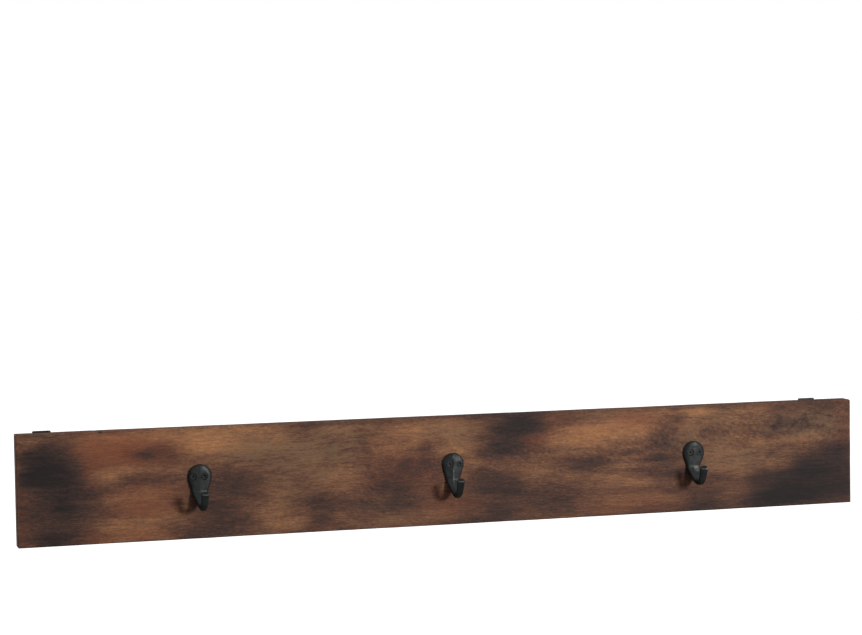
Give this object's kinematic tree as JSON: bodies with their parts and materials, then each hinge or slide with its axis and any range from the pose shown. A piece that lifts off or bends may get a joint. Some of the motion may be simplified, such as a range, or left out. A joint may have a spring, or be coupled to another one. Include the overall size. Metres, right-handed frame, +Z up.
{
  "type": "wall hook rail",
  "caption": "Long scorched-wood wall board with small forged iron coat hooks screwed to its face and keyhole hanging plates let into its back.",
  "frame": {"origin": "middle of the board's back face, which lies on the wall", "axes": "+X along the board to the right as seen from the front, +Y into the wall, +Z up; the hooks stand out towards -Y"},
  "size_m": [1.016, 0.0578, 0.1298],
  "materials": {
    "scorched_wood": "satin",
    "forged_iron": "waxed black",
    "black_steel": "satin black"
  },
  "bodies": {
    "root": {"board": "scorched_wood", "hook_left": "forged_iron", "hook_middle": "forged_iron", "hook_right": "forged_iron", "left_hook_screw_left": "black_steel", "left_hook_screw_right": "black_steel", "middle_hook_screw_left": "black_steel", "middle_hook_screw_right": "black_steel", "right_hook_screw_left": "black_steel", "right_hook_screw_right": "black_steel", "hanger_plate_left": "black_steel", "hanger_plate_right": "black_steel", "left_hanger_screw_top": "black_steel", "left_hanger_screw_bottom": "black_steel", "right_hanger_screw_top": "black_steel", "right_hanger_screw_bottom": "black_steel"}
  },
  "joints": []
}
